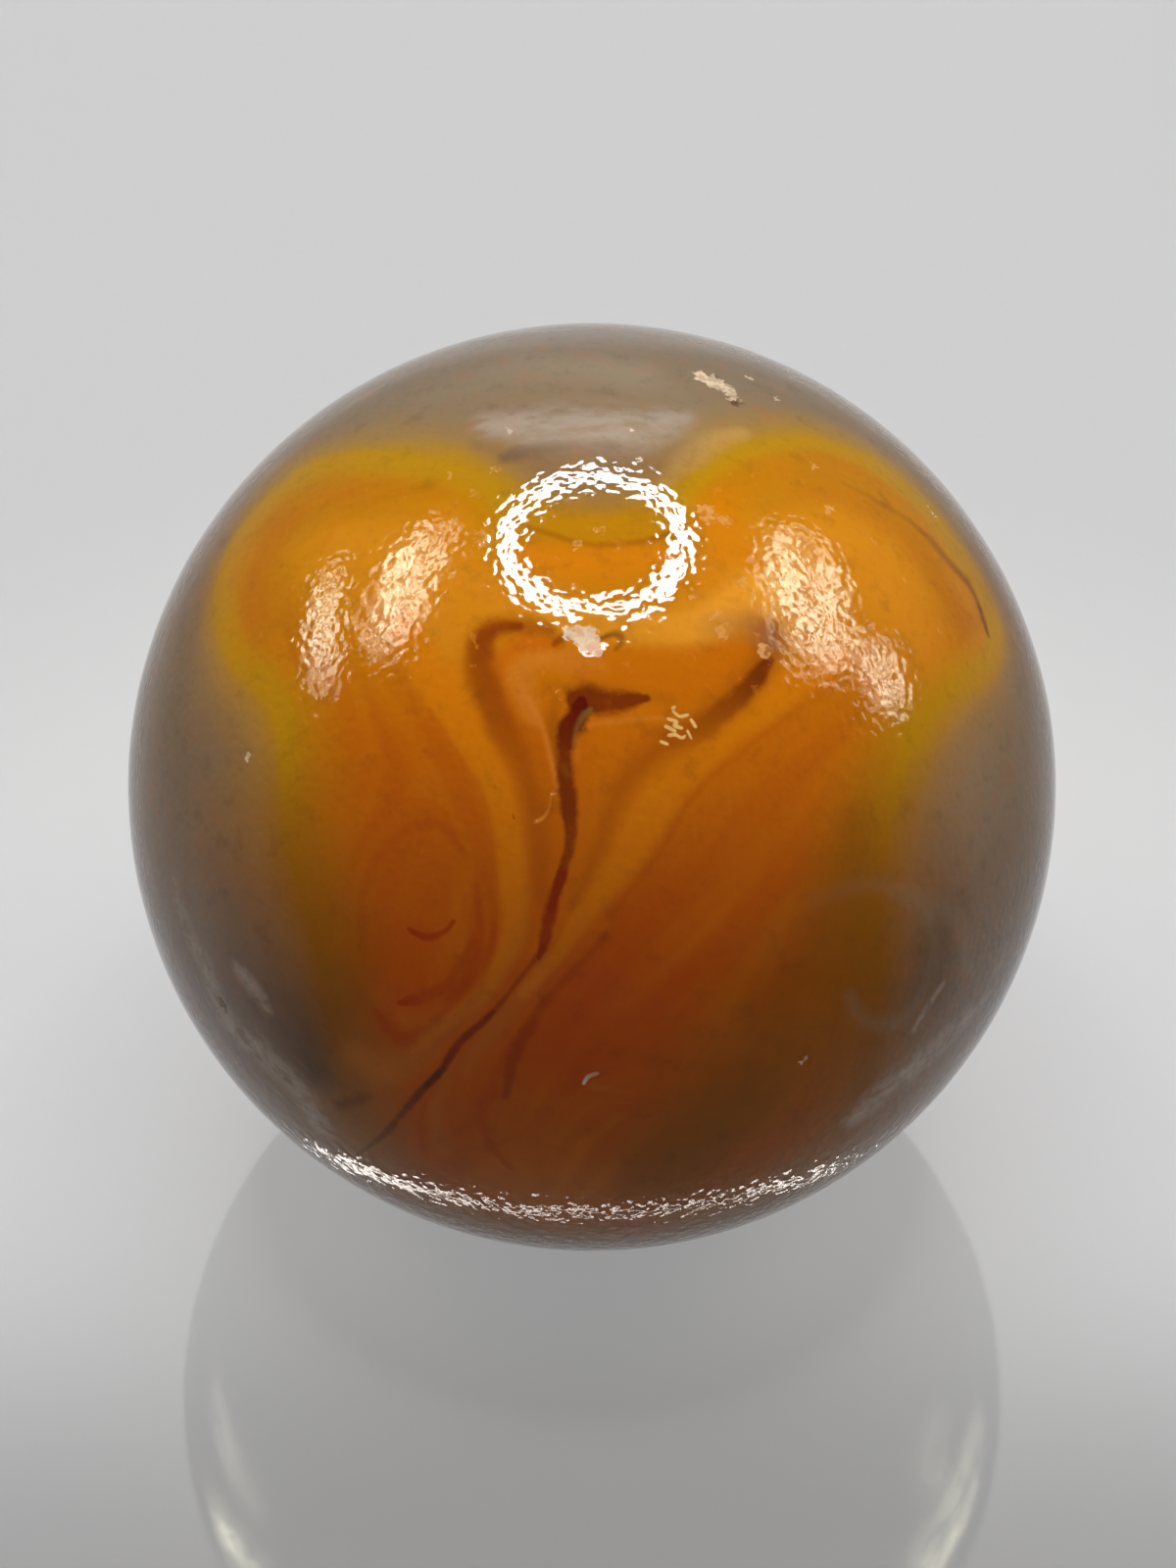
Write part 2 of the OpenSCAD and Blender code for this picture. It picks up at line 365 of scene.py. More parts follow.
# Crumbly peach scuff marks, in the same way: partly wear, partly painted glints round the mirror images of
# the ring and the strips.
SCUFFS_AND_GLINTS = (
    (14.2, 33.3, 1.3, 0.7), (16.1, 32.7, 1.1, 0.6), (-13.1, 29.7, 1.2, 0.7), (15.3, 18.3, 0.9, 0.6),
    (14.7, 19.8, 0.8, 0.6), (20.3, 16, 0.9, 0.9), (1, 30.7, 0.8, 0.7), (-1.6, 28.7, 0.7, 0.6),
    (-14.8, 36.3, 0.8, 0.5), (-16.7, 32.8, 0.6, 0.5), (-18.3, 39.4, 0.7, 0.5), (31, 36, 0.7, 0.7),
    (30, 43, 0.7, 0.6), (37, 32, 0.5, 0.6), (41, 27, 0.4, 0.6), (40, 18, 0.5, 0.6), (46, 21, 0.4, 0.6),
    (-4.2, -0.6, 0.4, 0.8), (4.1, 7, 0.3, 0.7), (-12, 40, 0.7, 0.5), (18, 24.6, 0.8, 0.6),
    (-3.6, 10.4, 0.3, 0.6), (12, 22.6, 0.6, 0.6), (3, 28, 0.4, 0.5), (-5, 25, 0.5, 0.5),
)
# Dark nicks beside the chips, in the same way; the first, on the lower right of the top chip, is painted
# shadow.
NICKS_AND_CHIP_SHADOWS = (
    (20.3, 53.6, 0.7, 0.9), (18.2, 59.6, 0.4, 0.6), (-53.7, -31.4, 0.9, 0.95), (-8.7, -3.5, 0.25, 0.6),
    (4, -64, 0.5, 0.5),
)


# ---------------------------------------------------------------- shapes by numbers

def face_direction(right, up):
    """Unit vector to a place on the face, or an array of them.

    With t = hypot(right, up) it is cos(t) FACE + sin(t) (right RIGHT + up UP) / t.
    """
    right, up = np.asarray(right, dtype=float), np.asarray(up, dtype=float)
    arc = np.maximum(np.hypot(right, up), 1e-9)
    t = np.radians(arc)[..., None]
    across = right[..., None] * RIGHT + up[..., None] * UP
    return np.cos(t) * FACE + np.sin(t) * across / arc[..., None]


def place_on_ball(right, up):
    """Point of the ball's surface at one place on the face, in metres."""
    return face_direction(right, up) * BALL_R


def smooth_route(points, steps, closed=False):
    """Catmull-Rom curve through the points: steps samples from each point to the next."""
    knots = np.array(points, dtype=float)
    if closed:
        knots = np.vstack((knots[-1:], knots, knots[:2]))
    else:
        knots = np.vstack((2 * knots[0] - knots[1], knots, 2 * knots[-1] - knots[-2]))
    s = (np.arange(steps) / steps)[None, :, None]
    before, start, end, after = (knots[i:len(knots) - 3 + i, None] for i in range(4))
    curve = 0.5 * (2 * start + (end - before) * s + (2 * before - 5 * start + 4 * end - after) * s ** 2
                   + (3 * start - before - 3 * end + after) * s ** 3)
    curve = curve.reshape(-1, knots.shape[1])
    return curve if closed else np.vstack((curve, knots[-2]))


def nearest_on_route(spots, route):
    """For each spot, the nearest part of the route: segment number, share along it, and offset.

    On a segment from p to q the nearest share is (spot - p).(q - p) / |q - p|^2, kept within 0 to 1.
    """
    best = np.full(len(spots), np.inf)
    where = np.zeros(len(spots), dtype=int)
    share = np.zeros(len(spots))
    for i, (p, q) in enumerate(zip(route[:-1, :2], route[1:, :2])):
        run = q - p
        along = np.clip((spots - p) @ run / max(run @ run, 1e-12), 0, 1)
        gap = ((spots - p - along[:, None] * run) ** 2).sum(1)
        closer = gap < best
        best[closer], where[closer], share[closer] = gap[closer], i, along[closer]
    return where, share, np.sqrt(best)


OUT_OF_REACH = 60.0  # what beyond is, in half-widths, where a route is too far off to matter
TURN_FROM, TURN_OVER = 0.7, 1.2  # aside turns into beyond from here on, over this many degrees


def route_measure(spots, points):
    """Measures of each spot against a route, in half-widths: aside, beyond, and its share along.

    The spot's distance is hypot(aside, beyond). Next to the middle line it is all in aside, which
    has a sign and so passes smoothly through nought. Farther out it turns over into beyond, which
    has none, so that no line shows where two sides of a bend meet. Spots well outside the route's
    own box are left out of reach.
    """
    route = smooth_route(points, 8)
    measure = np.tile((0, OUT_OF_REACH, 0.5), (len(spots), 1))
    margin = 3 * route[:, 2].max() + 1.5
    near = ((spots > route[:, :2].min(0) - margin) & (spots < route[:, :2].max(0) + margin)).all(1)
    close = spots[near]
    where, share, gap = nearest_on_route(close, route)
    p, q = route[where], route[where + 1]
    centre = p + share[:, None] * (q - p)
    tangent = (q - p)[:, :2]
    tangent /= np.linalg.norm(tangent, axis=1)[:, None]
    offset = close - centre[:, :2]
    aside = offset[:, 0] * tangent[:, 1] - offset[:, 1] * tangent[:, 0]
    turned = np.clip((np.abs(aside) - TURN_FROM) / TURN_OVER, 0, 1) * math.pi / 2
    aside = aside * np.cos(turned)
    beyond = np.sqrt(np.maximum(gap ** 2 - aside ** 2, 0))
    measure[near] = np.stack((aside / centre[:, 2], beyond / centre[:, 2],
                              (where + share) / (len(route) - 1)), axis=1)
    return measure


def stroke_measure(spots, stroke):
    """The measures of each spot against the nearest of a stroke's routes."""
    measures = np.stack([route_measure(spots, route) for route in (stroke.route, *stroke.more)])
    nearest = np.hypot(measures[..., 0], measures[..., 1]).argmin(0)
    return measures[nearest, np.arange(len(spots))]


def depth_inside(spots, outline):
    """Degrees from each spot to a closed outline, positive inside it (even-odd rule)."""
    ring = np.vstack((outline, outline[:1]))
    _, _, gap = nearest_on_route(spots, ring)
    (x0, y0), (x1, y1) = ring[:-1].T, ring[1:].T
    inside = np.zeros(len(spots), dtype=bool)
    for i in range(len(x0)):
        crosses = (y0[i] > spots[:, 1]) != (y1[i] > spots[:, 1])
        reach = (x1[i] - x0[i]) * (spots[:, 1] - y0[i]) / ((y1[i] - y0[i]) or 1e-9) + x0[i]
        inside ^= crosses & (spots[:, 0] < reach)
    return np.where(inside, gap, -gap)


LATTICE = (64, 64)  # the table of draws that noise repeats


def lattice_noise(spots, grain, draw):
    """Smooth random values from 0 to 1: bilinear between a square table of draws, grain degrees apart."""
    cells = spots / grain
    base = np.floor(cells).astype(int)
    share = cells - base
    share = share * share * (3 - 2 * share)
    size = len(draw)
    i, j = base[:, 0] % size, base[:, 1] % size
    i2, j2 = (i + 1) % size, (j + 1) % size
    lower = draw[i, j] * (1 - share[:, 0]) + draw[i2, j] * share[:, 0]
    upper = draw[i, j2] * (1 - share[:, 0]) + draw[i2, j2] * share[:, 0]
    return lower * (1 - share[:, 1]) + upper * share[:, 1]


FLOW_REACH = 95  # the flow is worked out this many degrees either way
FLOW_STEP = 2.5  # degrees between two places of its table
SMEAR_STEP = 0.7  # degrees from one place to the next along the flow


def flow_table():
    """Direction of the swirl on a square grid of face degrees, as unit vectors.

    Every stroke and the swirl's edge give their tangents. A grid point takes their mean, each
    weighted by 1 / (distance^2 + 1)^1.5, with angles doubled so that opposite runs agree.
    """
    places, tangents = [], []
    routes = [smooth_route(route, 4)[:, :2] for s in STROKES for route in (s.route, *s.more)]
    routes.append(smooth_route(SWIRL_EDGE, 3, closed=True))
    for route in routes:
        places.append((route[1:] + route[:-1]) / 2)
        tangents.append(np.diff(route, axis=0))
    places, tangents = np.vstack(places), np.vstack(tangents)
    angle = 2 * np.arctan2(tangents[:, 1], tangents[:, 0])
    length = np.hypot(*tangents.T)
    axis = np.arange(-FLOW_REACH, FLOW_REACH + FLOW_STEP, FLOW_STEP)
    grid = np.stack(np.meshgrid(axis, axis, indexing="ij"), axis=-1).reshape(-1, 2)
    gap = ((grid[:, None] - places[None]) ** 2).sum(-1)
    weight = length / (gap + 1) ** 1.5
    mean = np.arctan2(weight @ np.sin(angle), weight @ np.cos(angle)) / 2
    return np.stack((np.cos(mean), np.sin(mean)), axis=-1).reshape(len(axis), len(axis), 2)


def smeared_noise(spots, grain, reach, rng):
    """Noise drawn out along the swirl: the mean of lattice noise over reach degrees each way."""
    table = flow_table()
    draw = rng.random(LATTICE)
    total = lattice_noise(spots, grain, draw)
    count = 1
    for sense in (1, -1):
        here, heading = spots.copy(), None
        for _ in range(int(reach / SMEAR_STEP)):
            cell = np.clip(((here + FLOW_REACH) / FLOW_STEP).round().astype(int), 0, len(table) - 1)
            run = table[cell[:, 0], cell[:, 1]]
            previous = sense * run if heading is None else heading
            heading = run * np.where((run * previous).sum(1) < 0, -1, 1)[:, None]
            here = here + SMEAR_STEP * heading
            total += lattice_noise(here, grain, draw)
            count += 1
    mean = total / count
    return np.clip((mean - mean.mean()) / (4 * mean.std()) + 0.5, 0, 1)


# ---------------------------------------------------------------- the ball

# Scoops in the surface, as in the solid: (right, up, width, depth), in degrees and millimetres.
SCOOPS = (
    (17, 59, 0.6, 0.05), (20, 54, 0.36, 0.03), (0, 17, 0.7, 0.035),
    *((right, up, 0.24, 0.03) for right, up in
      ((-54, -31), (9, 8), (31, 36), (51, 41), (-44, 4), (27, -35), (0, -36))),
)
SEGMENTS = 420  # points round each ring
FRONT_RINGS, BACK_RINGS = 172, 64
FRONT_ARC = 96  # degrees from the face's middle to where the rings grow wider apart
POLES = ((1e-6, 0), (179.999, 0))  # a hair off the true poles, where a direction is still defined
WAVES = 9
WAVE_PITCH = 14  # spread of the wave vectors, in radians to the ball's radius
WAVE_HEIGHT = 0.0007 * MM
WAVER_GRAIN, WAVER = 6, 0.7  # how far apart and how far the strokes waver, in degrees
# Streaks along the flow: name, grain and reach in degrees, and how much they tint the swirl
STREAKS = (("fine_streaks", 1.1, 9, 0.11), ("broad_streaks", 3.2, 18, 0.2))


def ball_relief(ways):
    """Height of the surface over the true ball in these directions, in metres: slow waves less scoops.

    A wave is sin(direction . k) for a few random wave vectors k. A scoop of half-width w lowers
    the surface by depth (1 - (d / w)^2)^2 at distance d from its middle.
    """
    rng = np.random.default_rng(SEED)
    waves = rng.normal(size=(WAVES, 3)) * WAVE_PITCH
    height = WAVE_HEIGHT * np.sin(ways @ waves.T + rng.uniform(0, 6.28, WAVES)).sum(1)
    for right, up, width, depth in SCOOPS:
        gap = np.linalg.norm(ways - face_direction(right, up), axis=1)
        share = gap * BALL_R / (width * MM / 2)
        height -= depth * MM * np.clip(1 - share ** 2, 0, 1) ** 2
    return height


def ball_mesh():
    """The ball on a grid of rings about the face's middle, closed by a point at each pole.

    Ring t and segment p give the direction cos(t) FACE + sin(t) (cos(p) RIGHT + sin(p) UP).
    """
    front = np.linspace(0, FRONT_ARC, FRONT_RINGS + 1)[1:]
    back = np.linspace(FRONT_ARC, 180, BACK_RINGS + 1)[1:-1]
    arcs = np.concatenate((front, back))
    turns = np.arange(SEGMENTS) * 2 * math.pi / SEGMENTS
    arc, turn = np.meshgrid(arcs, turns, indexing="ij")
    spots = np.stack((arc * np.cos(turn), arc * np.sin(turn)), axis=-1).reshape(-1, 2)
    spots = np.vstack((spots, POLES))
    ways = face_direction(spots[:, 0], spots[:, 1])
    verts = ways * (BALL_R + ball_relief(ways))[:, None]

    k = np.arange(SEGMENTS)
    after = (k + 1) % SEGMENTS
    first = (np.arange(len(arcs) - 1) * SEGMENTS)[:, None]
    quads = np.stack((first + k, first + SEGMENTS + k, first + SEGMENTS + after, first + after), axis=-1)
    last = (len(arcs) - 1) * SEGMENTS
    front_cap = np.stack((np.full(SEGMENTS, len(spots) - 2), k, after), axis=-1)
    back_cap = np.stack((np.full(SEGMENTS, len(spots) - 1), last + after, last + k), axis=-1)
    mesh = bpy.data.meshes.new("marble_glass")
    faces = quads.reshape(-1, 4).tolist() + front_cap.tolist() + back_cap.tolist()
    mesh.from_pydata(verts.tolist(), [], faces)
    mesh.polygons.foreach_set("use_smooth", np.ones(len(mesh.polygons), dtype=bool))
    return mesh, spots


def add_values(mesh, name, values):
    """Stores one number or one vector for each vertex, for the material to read."""
    kind = "FLOAT" if values.ndim == 1 else "FLOAT_VECTOR"
    key = "value" if values.ndim == 1 else "vector"
    layer = mesh.attributes.new(name, kind, "POINT")
    layer.data.foreach_set(key, values.astype(np.float32).ravel())


def make_marble():
    """The ball with the swirl's measures on its vertices."""
    mesh, spots = ball_mesh()
    rng = np.random.default_rng(SEED)
    bend = np.stack([lattice_noise(spots, WAVER_GRAIN, rng.random(LATTICE)) for _ in range(2)], axis=-1)
    wavering = spots + WAVER * (bend - 0.5)
    add_values(mesh, "swirl_depth", depth_inside(wavering, smooth_route(SWIRL_EDGE, 6, closed=True)))
    add_values(mesh, "face_up", spots[:, 1])
    add_values(mesh, "face_arc", np.hypot(*spots.T))
    for name, grain, reach, _ in STREAKS:
        add_values(mesh, name, smeared_noise(spots, grain, reach, rng))
    for stroke in STROKES:
        add_values(mesh, stroke.name, stroke_measure(wavering, stroke))
    marble = bpy.data.objects.new("marble_glass", mesh)
    bpy.context.scene.collection.objects.link(marble)
    mesh.materials.append(swirled_glass())
    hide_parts("marble")
    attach(marble, "root")


# ---------------------------------------------------------------- materials

class Recipe:
    """A material's node tree, built step by step. Each step takes sockets or plain values."""

    def __init__(self, name):
        self.material = bpy.data.materials.new(name)
        self.material.use_nodes = True
        self.tree = self.material.node_tree
        self.shader = self.tree.nodes["Principled BSDF"]

    def node(self, kind, **settings):
        """A new node with these settings."""
        made = self.tree.nodes.new("ShaderNode" + kind)
        for key, value in settings.items():
            setattr(made, key, value)
        return made

    def feed(self, socket, value):
        """Links the value to the socket if it is a socket itself, or else sets it there."""
        if isinstance(value, bpy.types.NodeSocket):
            self.tree.links.new(value, socket)
        else:
            socket.default_value = value

    def math(self, operation, first, second=0.0):
        """One sum on one or two numbers."""
        made = self.node("Math", operation=operation)
        self.feed(made.inputs[0], first)
        self.feed(made.inputs[1], second)
        return made.outputs[0]

    def clamped(self, operation, first, second=0.0):
        """The same, kept within 0 to 1."""
        result = self.math(operation, first, second)
        result.node.use_clamp = True
        return result

    def spread(self, value, start, end, low=0.0, high=1.0):
        """Smooth step of value, from low at start to high at end."""
        made = self.node("MapRange", interpolation_type="SMOOTHSTEP")
        for socket, given in zip(made.inputs, (value, start, end, low, high)):
            self.feed(socket, given)
        return made.outputs[0]

    def lay(self, share, under, over):
        """Lays the colour over on the colour under, as much as share says."""
        made = self.node("Mix", data_type="RGBA")
        self.feed(made.inputs["Factor"], share)
        self.feed(made.inputs["A"], under)
        self.feed(made.inputs["B"], over)
        return made.outputs["Result"]

    def value(self, name):
        """A number stored on the vertices under this name."""
        return self.node("Attribute", attribute_name=name).outputs["Fac"]

    def noise(self, size, detail=2.0, roughness=0.5, distortion=0.0, stretch=None):
        """Noise of this grain in metres on the piece's own coordinates."""
        where = self.node("TexCoord").outputs["Object"]
        if stretch:
            mapping = self.node("Mapping")
            self.feed(mapping.inputs["Vector"], where)
            mapping.inputs["Scale"].default_value = stretch
            where = mapping.outputs["Vector"]
        made = self.node("TexNoise")
        self.feed(made.inputs["Vector"], where)
        made.inputs["Scale"].default_value = 1 / size
        made.inputs["Detail"].default_value = detail
        made.inputs["Roughness"].default_value = roughness
        made.inputs["Distortion"].default_value = distortion
        return made.outputs["Fac"]

    def by_height(self, up, stops):
        """Colours at stops given in degrees up the face, with an even blend between them."""
        bottom, top = stops[0][0], stops[-1][0]
        share = self.spread(up, bottom, top)
        share.node.interpolation_type = "LINEAR"
        made = self.node("ValToRGB")
        self.feed(made.inputs["Fac"], share)
        elements = made.color_ramp.elements
        while len(elements) < len(stops):
            elements.new(1.0)
        for element, (height, colour) in zip(elements, stops):
            element.position, element.color = (height - bottom) / (top - bottom), colour
        return made.outputs["Color"]


def veiled_smoke(glass, smoke, up, arc):
    """The smoke glass with milky and dark veils, amber wisps at the back, and painted shade that darkens it
    towards the edge of the ball.
    """
    veil = glass.noise(6 * MM, detail=2, distortion=0.6)
    smoke = glass.lay(glass.spread(veil, 0.5, 0.8, 0, 0.3), smoke, PAINTS["milky_smoke_and_sheen"])
    smoke = glass.lay(glass.spread(veil, 0.5, 0.25, 0, 0.25), smoke, PAINTS["smoke_dark"])
    wisp = glass.math("MULTIPLY", glass.spread(glass.noise(5 * MM, distortion=1.0), 0.46, 0.8),
                      glass.spread(arc, 96, 125, 0, 0.6))
    smoke = glass.lay(wisp, smoke, PAINTS["amber_low"])
    # Painted shade: the smoke darkens towards the ball's edge, less so near the top.
    limb_shade = glass.math("MULTIPLY", glass.spread(arc, 52, 76, 0, 0.55), glass.spread(arc, 100, 84))
    limb_shade = glass.math("MULTIPLY", limb_shade, glass.spread(up, 56, 36, 0.6, 1))
    return glass.lay(limb_shade, smoke, PAINTS["smoke_dark"])


def swirl_ground(glass, smoke, rim, body, up, ragged):
    """Smoke, then the rim's tint reaching out into it, then the body: the colour and the body's share.

    With d degrees inside the swirl's edge and a halo w degrees wide, the tint is (1 + d / w)^2, kept
    within 0 to 1. The halo is widest low down, and the body fades in slowest there.
    """
    halo = glass.spread(up, -14, 18, 28, 10)
    tint = glass.math("DIVIDE", ragged, halo)
    tint = glass.clamped("ADD", tint, 1)
    tint = glass.math("MULTIPLY", glass.math("MULTIPLY", tint, tint), glass.spread(up, -84, -62))
    inwards = glass.math("DIVIDE", ragged, glass.spread(up, 2, 22, 14, 6))
    inner = glass.math("MULTIPLY", glass.spread(inwards, 0, 1), tint)
    return glass.lay(inner, glass.lay(tint, smoke, rim), body), inner


def edge_lines(glass, colour, up, ragged):
    """Lays a deeper band inside the lobes' edge, and a lemon line along it."""
    band = glass.math("MULTIPLY", glass.spread(ragged, 2, 5), glass.spread(ragged, 17, 8))
    share = glass.math("MULTIPLY", band, glass.spread(up, 12, 24, 0, 0.28))
    colour = glass.lay(share, colour, PAINTS["deep_honey"])
    line = glass.math("MULTIPLY", glass.spread(ragged, -2.2, 0.4), glass.spread(ragged, 4.2, 1.6))
    share = glass.math("MULTIPLY", line, glass.spread(up, -6, 8, 0, 0.42))
    return glass.lay(share, colour, PAINTS["lemon_line"])


def stroke_cover(glass, stroke, feather):
    """How much of a stroke shows: a smooth step down over its edge, at hypot(aside, beyond) = 1.

    The feather frays the edge, by less than a whole half-width where the stroke is wide.
    """
    width = np.mean(stroke.route, axis=0)[2]
    stored = glass.node("Attribute", attribute_name=stroke.name).outputs["Color"]
    measure = glass.node("SeparateColor")
    glass.feed(measure.inputs[0], stored)
    aside, beyond, along = measure.outputs
    reach = glass.math("SQRT", glass.math("ADD", glass.math("MULTIPLY", aside, aside),
                                          glass.math("MULTIPLY", beyond, beyond)))
    reach = glass.math("ADD", reach, glass.math("MULTIPLY", feather, min(1, 0.8 / width)))
    start, end = stroke.shows
    strength = glass.spread(along, 0, 1, start, end)
    return glass.spread(reach, 1 + stroke.softness, 1 - stroke.softness, 0, strength)


FROSTED = ("milky_smoke_and_sheen", "frost_and_reflection")  # paints that fine wisps break up


def swirl_colour(glass):
    """Colour of the glass: smoke, then the swirl inside its edge, then every stroke in turn."""
    up, arc, depth = glass.value("face_up"), glass.value("face_arc"), glass.value("swirl_depth")
    fine, broad = (glass.value(name) for name, *_ in STREAKS)
    # The glasses by height carry painted shade lower down, and a painted reflection of the board at the
    # very bottom.
    body, rim, smoke = (glass.by_height(up, stops) for stops in (SHADED_BODY, SHADED_RIM, SHADED_SMOKE))
    smoke = veiled_smoke(glass, smoke, up, arc)
    ragged = glass.math("ADD", depth, glass.spread(broad, 0, 1, -0.8, 0.8))
    colour, inner = swirl_ground(glass, smoke, rim, body, up, ragged)
    colour = edge_lines(glass, colour, up, ragged)

    for streaks, (*_, share) in zip((fine, broad), STREAKS):
        pale = glass.math("MULTIPLY", glass.spread(streaks, 0.4, 1, 0, share), inner)
        deep = glass.math("MULTIPLY", glass.spread(streaks, 0.6, 0, 0, share), inner)
        colour = glass.lay(deep, glass.lay(pale, colour, PAINTS["amber"]), PAINTS["red_orange"])

    mottle = glass.noise(0.45 * MM, detail=4, roughness=0.65)
    feather = glass.math("ADD", glass.spread(fine, 0, 1, -0.15, 0.15),
                         glass.spread(mottle, 0.2, 0.8, -0.3, 0.3))
    wisps = glass.spread(glass.noise(0.3 * MM, detail=3, roughness=0.6, stretch=(0.5, 1, 1)), 0.28, 0.62)
    for stroke in STROKES:
        cover = stroke_cover(glass, stroke, feather)
        if stroke.paint in FROSTED:
            cover = glass.math("MULTIPLY", cover, wisps)
        colour = glass.lay(cover, colour, PAINTS[stroke.paint])

    # Fine mottling and pale flecks under the skin
    colour = glass.lay(glass.spread(mottle, 0.5, 0.8, 0, 0.26), colour, PAINTS["amber_low"])
    colour = glass.lay(glass.spread(mottle, 0.5, 0.2, 0, 0.26), colour, PAINTS["bark"])
    fleck = glass.math("MULTIPLY", glass.spread(glass.noise(0.25 * MM, detail=3), 0.64, 0.7, 0, 0.5),
                       glass.math("MULTIPLY", glass.spread(up, 5, 18, 0, inner), glass.spread(arc, 56, 40)))
    return glass.lay(fleck, colour, PAINTS["peach"])


RAGGED = 0.4 * MM  # how far the crumbs of glass push a patch's outline about


def ragged_patches(glass, patches, solid=0.5):
    """Small patches with ragged outlines, mottled inside, from 0 to 1. With solid 0 they are crumbs."""
    crumbs = glass.noise(0.16 * MM, detail=2, roughness=0.6)
    where = glass.node("TexCoord").outputs["Object"]
    ragged = glass.node("VectorMath", operation="MULTIPLY_ADD")
    glass.feed(ragged.inputs[0], crumbs.node.outputs["Color"])
    ragged.inputs[1].default_value = (RAGGED,) * 3
    glass.feed(ragged.inputs[2], where)
    total = None
    for right, up, width, strength in patches:
        near = glass.node("VectorMath", operation="DISTANCE")
        glass.feed(near.inputs[0], ragged.outputs["Vector"])
        near.inputs[1].default_value = place_on_ball(right, up) + RAGGED / 2
        gap = glass.math("DIVIDE", near.outputs["Value"], width * DEGREE)
        mask = glass.spread(gap, 1.1, 0.8, 0, strength)
        total = mask if total is None else glass.math("MAXIMUM", total, mask)
    return glass.math("MULTIPLY", total, glass.spread(crumbs, 0.42, 0.58, solid, 1))


def swirled_glass():
    """Glossy swirled glass, scuffed and chipped, with painted glints and reflections among its scuff marks
    and chips, and a fine orange-peel skin that is pebbly low down.
    """
    glass = Recipe("swirled_glass")
    broken_and_sheen = ragged_patches(glass, BROKEN_AND_DENT_SHEEN)
    # Scuff marks with painted glints, then chips with the dent's painted reflection, then nicks with
    # painted shadow
    scuffs_and_glints = ragged_patches(glass, SCUFFS_AND_GLINTS, solid=0.15)
    colour = glass.lay(scuffs_and_glints, swirl_colour(glass), PAINTS["scuff_and_glint_pink"])
    colour = glass.lay(broken_and_sheen, colour, PAINTS["chip_and_sheen_white"])
    colour = glass.lay(ragged_patches(glass, NICKS_AND_CHIP_SHADOWS), colour, PAINTS["bark"])
    glass.feed(glass.shader.inputs["Base Color"], colour)
    glass.feed(glass.shader.inputs["Roughness"], glass.spread(broken_and_sheen, 0, 0.14, 0.045, 0.45))
    glass.shader.inputs["IOR"].default_value = 1.5
    glass.shader.inputs["Specular IOR Level"].default_value = 0.14
    peel = glass.math("MULTIPLY", glass.noise(0.14 * MM, detail=0.5), 1.65)
    pebbles = glass.math("MULTIPLY", glass.noise(0.19 * MM, detail=1, stretch=(1, 1, 0.6)), 5.5)
    ripple = glass.math("MULTIPLY", glass.noise(0.5 * MM, detail=1), 0.7)
    height = glass.math("ADD", glass.spread(glass.value("face_up"), -48, -57, peel, pebbles), ripple)
    bump = glass.node("Bump")
    bump.inputs["Strength"].default_value = 1.0
    bump.inputs["Distance"].default_value = 0.005 * MM
    glass.feed(bump.inputs["Height"], height)
    glass.feed(glass.shader.inputs["Normal"], bump.outputs["Normal"])
    return glass.material


# Board tones: pale where lit, with painted shade to the front and far out to the sides
BOARD_PALE = (0.31, 0.31, 0.328, 1)
BOARD_FRONT_SHADE = (0.15, 0.15, 0.152, 1)
BOARD_SIDE_SHADE = (0.05, 0.05, 0.05, 1)
BOARD_GLOW, BOARD_FRONT_SHADE_GLOW = 0.29, 0.19


def glossy_board():
    """Pale glossy board that mirrors the marble faintly and keeps its shadow.

    It darkens to the front and far out to the sides as painted shade, and glows a little wherever it is
    seen.
    """
    board = Recipe("glossy_board")
    place = board.node("SeparateXYZ")
    board.feed(place.inputs[0], board.node("TexCoord").outputs["Object"])
    # Painted shade: the board darkens to the front and far out to the sides, in colour and glow
    front_shade = board.spread(place.outputs["Y"], -1 * MM, -12 * MM)
    pale = board.math("MULTIPLY", board.spread(place.outputs["X"], 12.5 * MM, 26 * MM, 1, 0.5),
                      board.spread(place.outputs["X"], -13 * MM, -45 * MM, 1, 0.4))
    colour = board.lay(front_shade, BOARD_PALE, BOARD_FRONT_SHADE)
    board.feed(board.shader.inputs["Base Color"], board.lay(pale, BOARD_SIDE_SHADE, colour))
    board.shader.inputs["Roughness"].default_value = 0.05
    board.shader.inputs["IOR"].default_value = 1.6
    path = board.node("LightPath")
    seen = board.clamped("ADD", path.outputs["Is Camera Ray"], path.outputs["Is Glossy Ray"])
    seen = board.clamped("ADD", seen, path.outputs["Is Transmission Ray"])
    board.shader.inputs["Emission Color"].default_value = (1, 1, 1, 1)
    glow = board.math("MULTIPLY", board.spread(front_shade, 0, 1, BOARD_GLOW, BOARD_FRONT_SHADE_GLOW), pale)
    board.feed(board.shader.inputs["Emission Strength"], board.math("MULTIPLY", seen, glow))
    return board.material


# ---------------------------------------------------------------- floor, lamps and camera

FLOOR_HALF = 2.0  # metres from the ball to the board's sides


def make_floor():
    """A board that runs out of sight on every side, touching the ball underneath."""
    corners = [(x * FLOOR_HALF, y * FLOOR_HALF, -BALL_R) for x, y in ((-1, -1), (1, -1), (1, 1), (-1, 1))]
    mesh = bpy.data.meshes.new("floor")
    mesh.from_pydata(corners, [], [(0, 1, 2, 3)])
    mesh.materials.append(glossy_board())
    floor = bpy.data.objects.new("floor", mesh)
    bpy.context.scene.collection.objects.link(floor)


def glint_direction(right, up):
    """Where a lamp hangs whose mirror image shows at this place of the face: 2 (n . FACE) n - FACE."""
    normal = face_direction(right, up)
    return 2 * (normal @ FACE) * normal - FACE


